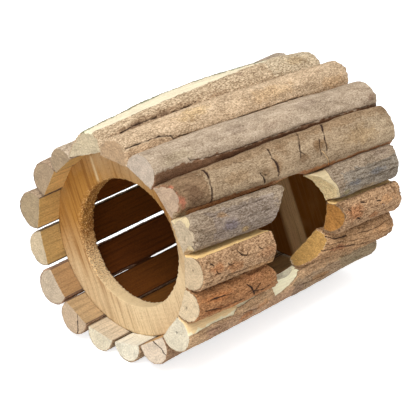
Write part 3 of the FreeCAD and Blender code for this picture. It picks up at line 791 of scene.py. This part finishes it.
class Nodes:
    """The nodes of a material or of the world, put together step by step round its shader."""

    def __init__(self, owner, shader="Principled BSDF"):
        owner.use_nodes = True
        self.tree = owner.node_tree
        self.shader = self.tree.nodes[shader].inputs

    def feed(self, socket, value):
        """Link a socket to the one that feeds it, or set it to a value."""
        if isinstance(value, bpy.types.NodeSocket):
            self.tree.links.new(value, socket)
        else:
            socket.default_value = (*value, 1.0) if socket.type == "RGBA" else value

    def add(self, kind, inputs=(), **settings):
        """Put in a node. inputs gives its sockets a value each, or the socket that feeds it."""
        node = self.tree.nodes.new(kind)
        for key, value in settings.items():
            setattr(node, key, value)
        for key, value in dict(inputs).items():
            self.feed(node.inputs[key], value)
        return node.outputs

    def reckon(self, how, first, second=0.0):
        """Add, multiply or otherwise join two numbers."""
        return self.add("ShaderNodeMath", {0: first, 1: second}, operation=how)[0]

    def plus(self, first, second):
        return self.reckon("ADD", first, second)

    def times(self, first, second):
        return self.reckon("MULTIPLY", first, second)

    def stretch(self, value, low, high, out_low=0.0, out_high=1.0):
        """Map low to high onto a new range, and hold it there."""
        sockets = {"Value": value, "From Min": low, "From Max": high, "To Min": out_low, "To Max": out_high}
        return self.add("ShaderNodeMapRange", sockets)["Result"]

    def fact(self, name, output="Fac"):
        """A number, or with output Vector a triple, that the mesh carries."""
        return self.add("ShaderNodeAttribute", attribute_name=name)[output]

    def wood_place(self, scale):
        """The point's place in its branch or board in metres, times a scale across, along and up."""
        sockets = {"Vector": self.fact("wood", "Vector"), "Scale": scale}
        return self.add("ShaderNodeMapping", sockets)["Vector"]

    def noise(self, scale, detail=3.0, roughness=0.55):
        """Noise over the wood with its own scale across, along and up, per metre."""
        place = self.wood_place(scale)
        sockets = {"Vector": place, "Scale": 1.0, "Detail": detail, "Roughness": roughness}
        return self.add("ShaderNodeTexNoise", sockets)["Fac"]

    def blend(self, share, under, over, how="MIX"):
        """Lay one colour over another by a share."""
        sockets = {0: share, 6: under, 7: over}
        return self.add("ShaderNodeMix", sockets, data_type="RGBA", blend_type=how, clamp_result=True)[2]

    def layers(self, colour, *rows):
        """Lay colours over one another in turn.

        Each row has a colour, the number that says where it goes, the value at which it begins to
        show and the one at which it is full, and how strong it then is (1 if left out).
        """
        for over, where, begins, full, *most in rows:
            colour = self.blend(self.stretch(where, begins, full, 0.0, *most), colour, over)
        return colour

    def finish(self, colour, height, depth, roughness):
        """Give the shader its colour, its roughness and a relief of that depth in metres."""
        relief = self.add("ShaderNodeBump", {"Height": height, "Distance": depth, "Strength": 1.0})
        self.feed(self.shader["Base Color"], colour)
        self.feed(self.shader["Normal"], relief["Normal"])
        self.feed(self.shader["Roughness"], roughness)


def dry_wood(name):
    """A new material with a dull shader, and its nodes."""
    material = bpy.data.materials.new(name)
    nodes = Nodes(material)
    nodes.feed(nodes.shader["Specular IOR Level"], 0.2)
    return material, nodes


def tinted(card, times, tint):
    """A paint card's colour, lighter or darker by a factor, with factors for red, green and blue."""
    return tuple(part * share for part, share in zip(paint(card, times), tint))


def bark_material(stave):
    """Bark: slow changes of tone, then patches, streaks along the branch, grains and fine flecks.

    Each of these is darker in places and paler in others. Hollows are darkened as painted shade.
    Bare wood lies over it within a dark torn rim, then the mesh's washes of colour, and the cracks last.
    """
    look, tone, wood_tone = stave.look, stave.look["tone"], stave.look["wood"]
    material, nodes = dry_wood(f"bark_{stave.number:02d}")
    deep, pale = tinted(tone, 0.32, (1, 0.84, 0.66)), tinted(tone, 1.62, (1, 1.07, 1.16))
    slow = nodes.noise((90, 26, 90), 2)
    patches = nodes.noise((380, 120, 380), 4, 0.55)
    streaks = nodes.noise((1150, 105, 1150), 4, 0.65)
    grains = nodes.noise((1700, 700, 1700), 3, 0.62)
    fine = nodes.noise((2500, 1200, 2500), 3, 0.65)
    streak, speck = look["streak"], 0.12 + 0.7 * look["speck"]
    grain = nodes.noise((1500, 40, 1500), 3, 0.6)
    wood = nodes.layers(
        paint(wood_tone, 0.84),
        (paint(wood_tone, 1.04), grain, 0.34, 0.62), (paint(wood_tone, 0.55), fine, 0.44, 0.30, 0.45))
    bare = nodes.fact("bare")
    torn_rim = nodes.times(nodes.stretch(bare, 0.06, 0.3), nodes.stretch(bare, 0.75, 0.45))
    colour = nodes.layers(
        paint(tone, 0.84),
        (paint(tone, 1.12), slow, 0.35, 0.65),
        (deep, patches, 0.50, 0.34, 0.42), (pale, patches, 0.52, 0.68, 0.42),
        (deep, streaks, 0.50, 0.34, 0.85 * streak), (pale, streaks, 0.54, 0.68, 0.6 * streak),
        (deep, grains, 0.49, 0.38, speck), (pale, grains, 0.51, 0.62, speck),
        (deep, fine, 0.47, 0.36, 0.6), (pale, fine, 0.54, 0.66, 0.5),
        # painted shade in the bark's hollows
        (deep, nodes.fact("rough"), -0.06, -0.5, 0.75),
        (paint(tone, 0.5), torn_rim, 0.0, 1.0), (wood, bare, 0.35, 0.65))
    colour = nodes.blend(1.0, colour, nodes.fact("wash", "Vector"), "MULTIPLY")
    colour = nodes.layers(colour, (CRACK_COLOUR, nodes.fact("crack"), 0.1, 0.7))
    height = nodes.plus(nodes.plus(nodes.times(streaks, 0.5 * streak + 0.2), grains), nodes.times(fine, 0.4))
    nodes.finish(colour, height, 0.0003 * (0.6 + look["grit"]), 0.9)
    return material


def end_grain_material(stave):
    """Sawn across: growth rings round the pith, fuzz from the saw, and the bark's dark rim.

    Where the side entrance's saw went through, the wood is of its own colour and more frayed.
    """
    look = stave.look
    material, nodes = dry_wood(f"end_grain_{stave.number:02d}")
    cut = nodes.fact("cut")
    tones = look["end"], look["cut"] or look["end"]
    tone, shade, light = (
        nodes.blend(cut, paint(tones[0], at_end), paint(tones[1], in_entrance))
        for at_end, in_entrance in ((1.0, 1.0), (0.66, 0.62), (1.3, 1.3)))

    def by_face(at_end, in_entrance):
        """One number at the ends and another on the face in the side entrance."""
        return nodes.stretch(cut, 0, 1, at_end, in_entrance)

    wobble = nodes.noise((260, 90, 260), 3)
    pith_across, pith_up = look["pith"] or RINGS_MIDDLE
    place = nodes.wood_place((1000, 0, 1000))
    sockets = {0: place, 1: (pith_across, 0, pith_up)}
    from_pith = nodes.add("ShaderNodeVectorMath", sockets, operation="DISTANCE")["Value"]
    far = nodes.plus(from_pith, nodes.times(wobble, 2.6))
    rings = nodes.reckon("SINE", nodes.times(far, 4.6))
    fuzz = nodes.noise((1700, 1700, 1700), 3, 0.7)
    slow = nodes.noise((260, 260, 260), 3, 0.6)
    colour = nodes.layers(
        tone,
        (shade, rings, -0.4, 1, 0.38), (shade, slow, 0.42, 0.66, 0.7),
        (shade, fuzz, 0.49, 0.36, by_face(0.5, 0.85)), (light, fuzz, 0.51, 0.64, by_face(0.4, 0.65)))
    if look["pith"]:
        knot = nodes.stretch(nodes.plus(from_pith, nodes.times(fuzz, 1.6)), 1.6, 1.1)
        colour = nodes.blend(nodes.times(knot, by_face(0.75, 0.0)), colour, paint(look["end"], 0.25))
    if look["end_crack"]:
        axes = nodes.add("ShaderNodeSeparateXYZ", {0: place})
        leaning = nodes.plus(axes["X"], nodes.times(axes["Z"], 0.5))
        off_line = nodes.reckon("ABSOLUTE", nodes.plus(leaning, nodes.times(wobble, 3.0)))
        colour = nodes.layers(colour, (CRACK_COLOUR, off_line, 0.42, 0.18))
    bark_edge = nodes.plus(nodes.fact("depth"), nodes.stretch(fuzz, 0.3, 0.7, 0.4, -0.4))
    past_rim = nodes.reckon("SUBTRACT", bark_edge, by_face(look["rim"], look["cut_rim"]))
    rim_tone = look["rim_tone"] or look["tone"]
    rim_shade = nodes.blend(nodes.stretch(fuzz, 0.4, 0.6), paint(rim_tone, 0.3), paint(rim_tone, 0.75))
    nodes.finish(nodes.layers(colour, (rim_shade, past_rim, 0.15, -0.15)), fuzz, 0.0005, 0.9)
    return material


def split_face_material(stave):
    """The flat: sawn along the grain, bright outside the ring, with dark brown shade painted on it inside
    the house.
    """
    tone = stave.look["flat"]
    material, nodes = dry_wood(f"flat_{stave.number:02d}")
    grain = nodes.noise((900, 34, 900), 4, 0.6)
    slow = nodes.noise((120, 40, 120), 2)
    fuzz = nodes.noise((1500, 900, 1500), 3, 0.6)
    colour = nodes.layers(
        paint(tone, 0.74),
        (paint(tone, 1.04), grain, 0.36, 0.60), (paint(tone, 0.76), slow, 0.42, 0.62, 0.5),
        (paint(tone, 0.5), fuzz, 0.48, 0.34, 0.45), (paint(tone, 1.35), fuzz, 0.53, 0.67, 0.35),
        (paint(tone, 0.55), grain, 0.47, 0.37, 0.45),
        (paint(stave.look["tone"], 0.4), nodes.fact("depth"), 0.7, 0.4))
    # inside the house the flat is darkened by painted shade
    painted_shade_colour = nodes.add("ShaderNodeGamma", {"Color": PAINTED_CABIN_SHADE, "Gamma": nodes.fact("painted_inside_shade")})["Color"]
    nodes.finish(nodes.blend(1.0, colour, painted_shade_colour, "MULTIPLY"), grain, 0.0003, 0.85)
    return material


def pine_material(name, low_tone, high_tone, line_tone):
    """A pine board: growth rings cut lengthwise at uneven distances, drawn out along the grain.

    The mesh says how far the board turns to its darker tone (darker_share), which on the ring is painted
    shade on the upper left, where the saw tore it (torn), and where painted light falls on it
    (painted_light).
    """
    material, nodes = dry_wood(name)
    wobble = nodes.noise((50, 9, 50), 3)
    drift = nodes.noise((130, 0, 0), 2)
    across = nodes.add("ShaderNodeSeparateXYZ", {0: nodes.wood_place((1000, 1000, 1000))})["X"]
    bent = nodes.plus(nodes.plus(across, nodes.times(wobble, 6.0)), nodes.times(drift, 14.0))
    year = nodes.reckon("FRACT", nodes.times(bent, 0.25))
    late = nodes.times(nodes.stretch(year, 0.55, 0.93), nodes.stretch(year, 1.0, 0.93))
    fibres = nodes.noise((1500, 50, 1500), 4, 0.65)
    patches = nodes.noise((60, 24, 60), 3)
    fuzz = nodes.noise((1500, 1500, 1500), 3, 0.65)
    # the darker tone: on the ring painted shade, with random patches over it
    darker_share = nodes.plus(nodes.fact("darker_share"), nodes.stretch(patches, 0.3, 0.7, -0.22, 0.22))
    faint = nodes.stretch(nodes.noise((60, 26, 60), 2), 0.38, 0.62, 0.1, 0.9)
    # growth lines show less where the board is paler, so on the ring they also follow the painted shade
    faint = nodes.times(faint, nodes.stretch(darker_share, 0.0, 0.9, 0.25, 0.95))
    torn = nodes.fact("torn")
    colour = nodes.layers(
        paint(low_tone),
        (paint(high_tone), darker_share, 0.0, 1.0),
        (paint(line_tone), nodes.times(late, faint), 0.0, 1.0),
        (paint(line_tone), fibres, 0.50, 0.36, 0.35),
        (paint(line_tone, 0.8), fuzz, 0.44, 0.32, 0.3),
        # painted light on the ring
        (paint(PAINTED_LIGHT_TONE), nodes.fact("painted_light"), 0.0, 1.0),
        (paint(TORN_DARK), nodes.times(torn, nodes.stretch(fuzz, 0.52, 0.38)), 0.0, 1.0),
        (paint(TORN_LIGHT), nodes.times(torn, nodes.stretch(fuzz, 0.54, 0.64)), 0.0, 1.0))
    nodes.finish(colour, nodes.plus(fibres, fuzz), 0.00025, 0.8)
    return material


def wire_material():
    """Bright drawn wire, for the brads below the bark."""
    material, nodes = dry_wood("brad_wire")
    place = nodes.add("ShaderNodeTexCoord")["Object"]
    scratches = nodes.add("ShaderNodeTexNoise", {"Vector": place, "Scale": 2500.0, "Detail": 3.0})["Fac"]
    nodes.feed(nodes.shader["Metallic"], 1.0)
    colour = nodes.layers((0.55, 0.55, 0.56), ((0.68, 0.68, 0.68), scratches, 0.4, 0.6))
    nodes.finish(colour, scratches, 0.00002, 0.35)
    return material


# ---------------------------------------------------------------- the ring and the disc
BOARD_TURNS = 640                   # points round the ring; the disc has half as many
RING_ROWS, BORE_ROWS, EDGE_ROWS = 40, 20, 8
DISC_ROWS = 60
GRAIN_TILT = math.radians(24)       # the boards' grain leans from straight up
TORN_SIDE = 1.5 * math.pi + 0.15    # where the hole saw tore the ring, as an angle round the bore
RING_LIGHT_STREAK = -6.6                     # where the painted streak of light lies on the ring's front face, across the grain
PALE_STRIP_RISES, PALE_STRIP_FALLS = (-16.5, -13.0), (-3.6, -1.8)     # both edges of the disc's paler strip, across the grain


def grain_places(x, z):
    """Sizes across and along the grain of the boards that the ring and the disc are sawn from."""
    across = x * math.cos(GRAIN_TILT) + z * math.sin(GRAIN_TILT)
    along = -x * math.sin(GRAIN_TILT) + z * math.cos(GRAIN_TILT)
    return across, along


def board_ripple(across, along, seed):
    """Planing waves across the grain and fibres along it, in mm."""
    return 0.03 * np.sin(along * 2 * math.pi / 2.1) + 0.05 * cloud(across / 0.8, along / 8, seed + 8, 2)


def ring_surface(near, far, seed):
    """Closed skin of the ring: face, bore wall, face and edge, carried once round.

    Each face is ruled between the round edge and the round bore, whose middle lies aside. The
    hole saw tore the bore's wall and rim on its left side and left them smooth at the bottom. Shade is
    painted on the face's upper left, and light on the bore's bottom wall and as a streak on the front face.
    """
    inward = np.linspace(0, 1, RING_ROWS) ** 0.8
    share = np.concatenate([inward, np.ones(BORE_ROWS - 1), inward[-2::-1], np.zeros(EDGE_ROWS - 2)])
    y = np.concatenate([
        np.full(RING_ROWS, near), np.linspace(near, far, BORE_ROWS)[1:],
        np.full(RING_ROWS - 1, far), np.linspace(far, near, EDGE_ROWS)[1:-1]])
    turn = np.linspace(0, 2 * math.pi, BOARD_TURNS, endpoint=False)[:, None]
    radius = RING_RADIUS + (BORE_RADIUS - RING_RADIUS) * share
    on_bore = share == 1
    on_face = ~on_bore & ((y == near) | (y == far))
    left_side = bump(turn, TORN_SIDE, 0.95)
    rim = bump(radius, BORE_RADIUS, 0.6 + 1.2 * left_side) * (bump(y, near, 0.6) + bump(y, far, 0.6))
    arc = turn * BORE_RADIUS
    joined = ramp(np.minimum(turn, 2 * math.pi - turn), 0, 0.05)
    torn = cloud(arc / 0.7, y / 0.6, seed, 2) * 0.16 + cloud(arc / 2.4, y / 2.5, seed + 3, 2) * 0.12
    torn = torn * (0.3 + 0.9 * left_side) * joined
    nibbled = rim * (0.22 + (0.25 + 0.35 * left_side) * joined * cloud(arc / 0.9, y / 3, seed + 5, 2))
    out = radius + on_bore * np.maximum(torn, -0.25) + np.maximum(nibbled, 0)
    x, z = out * np.sin(turn) + share * BORE_ACROSS, out * np.cos(turn) + share * BORE_UP
    across, along = grain_places(x, z)
    ragged = 0.35 * rim * left_side * cloud(arc / 0.7, radius / 0.7, seed + 12, 2) * joined
    ripple = board_ripple(across, along, seed)
    y_out = y + np.where(y == near, -1, 1) * on_face * (ripple + ragged - 0.25 * rim * (share > 0.97))
    # painted shade: the ring is darker towards its upper left, where the top staves' overhang shades it, a
    # little less at the very top
    high = ramp(z - 0.5 * x, -34, 30) - 0.45 * ramp(z, 20, 42)
    # painted light on the bore's bottom wall: paler, with less of the painted shade
    smooth = on_bore * ramp(-z, 8, 22)
    # a painted streak of light on the front face, where light falls between two staves
    streak = bump(across, RING_LIGHT_STREAK, 0.8) * ramp(along, 27.5, 30) * ramp(-along, -42.0, -39.0) * (y == near)
    facts = dict(
        wood=np.stack(np.broadcast_arrays(across, along, y_out), -1) * MM,
        torn=np.maximum(on_bore * ramp(left_side, 0.05, 0.5), rim * left_side),
        darker_share=high * (1 - 0.6 * smooth), painted_light=np.maximum(0.75 * streak, 0.6 * smooth))
    return np.stack(np.broadcast_arrays(x, y_out, z), -1), facts


def disc_surface(near, far, seed):
    """Closed skin of the disc: rows of circles out over one face, over the edge and back over the other.

    A paler strip runs along the grain, with darker wood on either side.
    """
    out = np.linspace(0.3, RING_RADIUS, DISC_ROWS)
    radius = np.concatenate([out, np.full(EDGE_ROWS - 2, RING_RADIUS), out[::-1]])[:, None]
    edge = np.linspace(near, far, EDGE_ROWS)[1:-1]
    y = np.concatenate([np.full(DISC_ROWS, near), edge, np.full(DISC_ROWS, far)])[:, None]
    turn = np.linspace(0, 2 * math.pi, BOARD_TURNS // 2, endpoint=False)
    x, z = radius * np.sin(turn), radius * np.cos(turn)
    across, along = grain_places(x, z)
    outwards = np.where(y == near, -1, 1) * ((y == near) | (y == far))
    y_out = y + outwards * board_ripple(across, along, seed)
    inner = y < far - 1
    dark = 1 - ramp(across, *PALE_STRIP_RISES) * (1 - ramp(across, *PALE_STRIP_FALLS))
    nothing = np.zeros(x.shape)
    facts = dict(
        wood=np.stack([across, along, y_out], -1) * MM, torn=nothing, painted_light=nothing,
        darker_share=dark * inner + 0.25 * (1 - inner))
    return np.stack([x, y_out, z], -1), facts, np.zeros((len(radius) - 1, len(turn)), int)


# ---------------------------------------------------------------- put the house together
RING_SEED, DISC_SEED = 900, 950
RING_TONES = (222, 196, 154), (172, 122, 56), (124, 76, 28)     # pale wood, darker wood for the painted shade on the upper left and for random patches, growth lines
DISC_TONES = (255, 206, 146), (138, 82, 14), (150, 100, 54)


def dress(piece, node, slot, *finishes):
    """Let a piece stand for its node, move with it and take its finishes."""
    for material in finishes:
        piece.data.materials.append(material)
    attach(piece, "root")
    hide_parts(node)


def faces_of(node):
    """Y of a board's two faces in mm."""
    low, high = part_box(node)
    return low.y / MM, high.y / MM


for stave in map(Stave, STAVES):
    finishes = split_face_material(stave), end_grain_material(stave), bark_material(stave)
    for node, ends, notch_side in stave_pieces(stave):
        piece = tube_mesh(f"{node}_branch", *stave_surface(stave, ends, notch_side), turned=notch_side < 0)
        dress(piece, node, "stave_wood", *finishes)

ring = doughnut_mesh("front_ring_board", *ring_surface(*faces_of("front_ring"), RING_SEED))
dress(ring, "front_ring", "ring_pine", pine_material("ring_pine", *RING_TONES))
disc = tube_mesh("back_disc_board", *disc_surface(*faces_of("back_disc"), DISC_SEED), turned=True)
dress(disc, "back_disc", "ring_pine", pine_material("disc_pine", *DISC_TONES))

for board in ("front_ring", "back_disc"):
    brads = frame["nodes"][f"{board}_brads"]
    brads.data.materials.clear()
    brads.data.materials.append(wire_material())


# ---------------------------------------------------------------- floor, light and camera
FLOOR_HALF = 6.0        # lengths from here on are in metres
FLOOR_GLOW = 0.7
WORLD_LIGHT = 0.55
LAMP_DISTANCE = 3.0
HOUSE_MIDDLE = Vector((0, 0, AXIS_HEIGHT * MM))
CAMERA_AZIMUTH, CAMERA_ELEVATION, CAMERA_DISTANCE = 41.798, 22.032, 0.67318
CAMERA_TARGET = HOUSE_MIDDLE + Vector((0.02341, -0.03345, 0.013203))
CAMERA_LENS, CAMERA_SENSOR = 130.91, 36.0     # in mm
CAMERA_NEAR = 0.01


def looked_at(nodes):
    """1 where the camera sees a thing straight, in a gloss or through glass, 0 for the light it throws."""
    path = nodes.add("ShaderNodeLightPath")
    straight_or_gloss = nodes.reckon("MAXIMUM", path["Is Camera Ray"], path["Is Glossy Ray"])
    return nodes.reckon("MAXIMUM", straight_or_gloss, path["Is Transmission Ray"])


def floor():
    """A plain pale floor: white to the camera, with the house's soft shadow kept."""
    mesh = bpy.data.meshes.new("floor")
    low, high = -FLOOR_HALF, FLOOR_HALF
    mesh.from_pydata([(low, low, 0), (high, low, 0), (high, high, 0), (low, high, 0)], [], [(0, 1, 2, 3)])
    plane = bpy.data.objects.new("floor", mesh)
    bpy.context.scene.collection.objects.link(plane)
    material = bpy.data.materials.new("floor")
    nodes = Nodes(material)
    glow = nodes.times(looked_at(nodes), FLOOR_GLOW)
    for socket, value in {
        "Base Color": (0.8, 0.8, 0.8), "Roughness": 0.9, "Specular IOR Level": 0.0,
        "Emission Color": (1, 1, 1), "Emission Strength": glow,
    }.items():
        nodes.feed(nodes.shader[socket], value)
    plane.data.materials.append(material)


def background():
    """A pale world that is plain white where the camera sees it."""
    world = bpy.data.worlds.new("studio")
    bpy.context.scene.world = world
    nodes = Nodes(world, "Background")
    nodes.feed(nodes.shader["Color"], (1, 1, 1))
    nodes.feed(nodes.shader["Strength"], nodes.stretch(looked_at(nodes), 0, 1, WORLD_LIGHT, 1.0))


def away(azimuth, elevation):
    """Direction from the house to something at that azimuth and elevation; azimuth 0 is in front."""
    turn, rise = math.radians(azimuth), math.radians(elevation)
    return Vector((math.sin(turn) * math.cos(rise), -math.cos(turn) * math.cos(rise), math.sin(rise)))


def set_up(name, data, place, target):
    """Put a lamp or a camera at a place, turned towards its target."""
    holder = bpy.data.objects.new(name, data)
    bpy.context.scene.collection.objects.link(holder)
    holder.location = place
    holder.rotation_euler = (target - holder.location).to_track_quat("-Z", "Y").to_euler()
    return holder


def lamp(name, azimuth, elevation, size, power):
    """A square soft lamp that points at the house's middle from that side."""
    data = bpy.data.lights.new(name, "AREA")
    data.size, data.energy = size, power
    set_up(name, data, HOUSE_MIDDLE + LAMP_DISTANCE * away(azimuth, elevation), HOUSE_MIDDLE)


floor()
background()
lamp("top_light", 25, 58, 1.5, 66.0)
lamp("front_light", 30, 25, 1.6, 24.0)

view = bpy.data.cameras.new("camera")
view.lens, view.sensor_width, view.clip_start = CAMERA_LENS, CAMERA_SENSOR, CAMERA_NEAR
camera_place = CAMERA_TARGET + CAMERA_DISTANCE * away(CAMERA_AZIMUTH, CAMERA_ELEVATION)
bpy.context.scene.camera = set_up("camera", view, camera_place, CAMERA_TARGET)
bpy.context.scene.view_settings.view_transform = "Standard"
